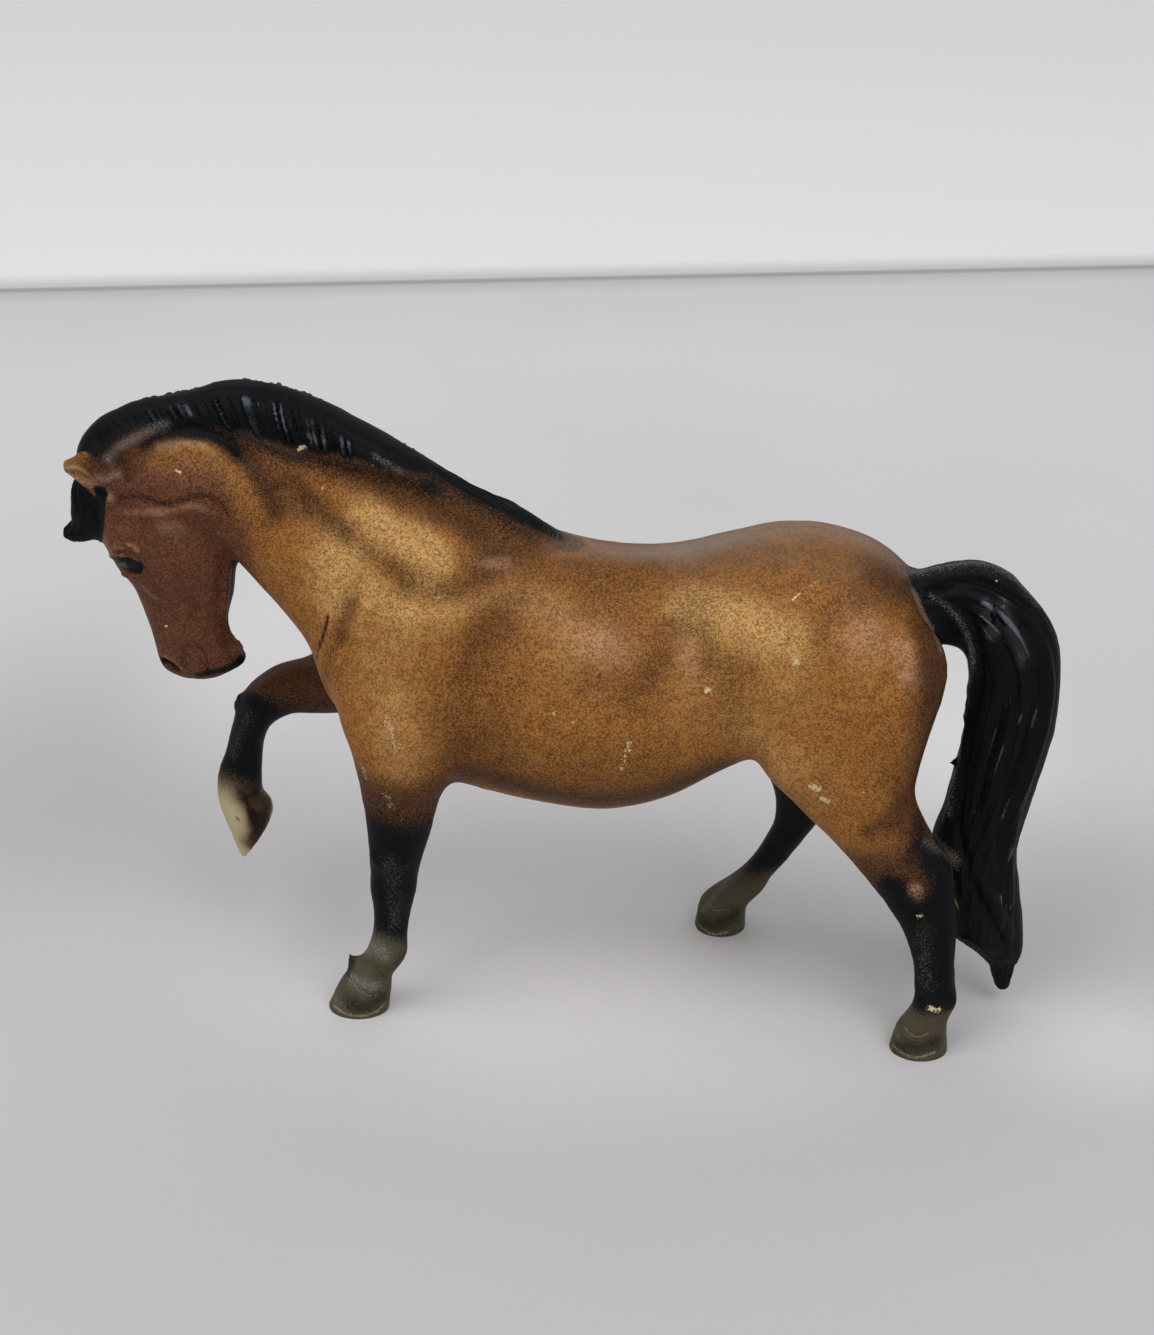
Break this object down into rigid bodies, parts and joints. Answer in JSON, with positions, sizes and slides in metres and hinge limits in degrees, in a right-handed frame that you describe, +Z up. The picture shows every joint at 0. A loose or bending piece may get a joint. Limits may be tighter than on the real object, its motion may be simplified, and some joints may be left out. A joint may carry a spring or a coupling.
{
  "type": "toy horse figure",
  "caption": "Standing toy horse figure with one foreleg raised, moulded as two hollow half shells that are bonded along the centre plane.",
  "frame": {"origin": "on the ground under the middle of the figure's bounding box", "axes": "the horse looks along -X, its left side is towards -Y, +Z up"},
  "size_m": [0.093, 0.0258, 0.0642],
  "materials": {
    "left_plastic": "sprayed bay paint on moulded plastic, semi-matte, with glossier black points",
    "right_plastic": "sprayed bay paint on moulded plastic, semi-matte, with glossier black points"
  },
  "bodies": {
    "root": {"left_half": "left_plastic", "right_half": "right_plastic"}
  },
  "joints": []
}
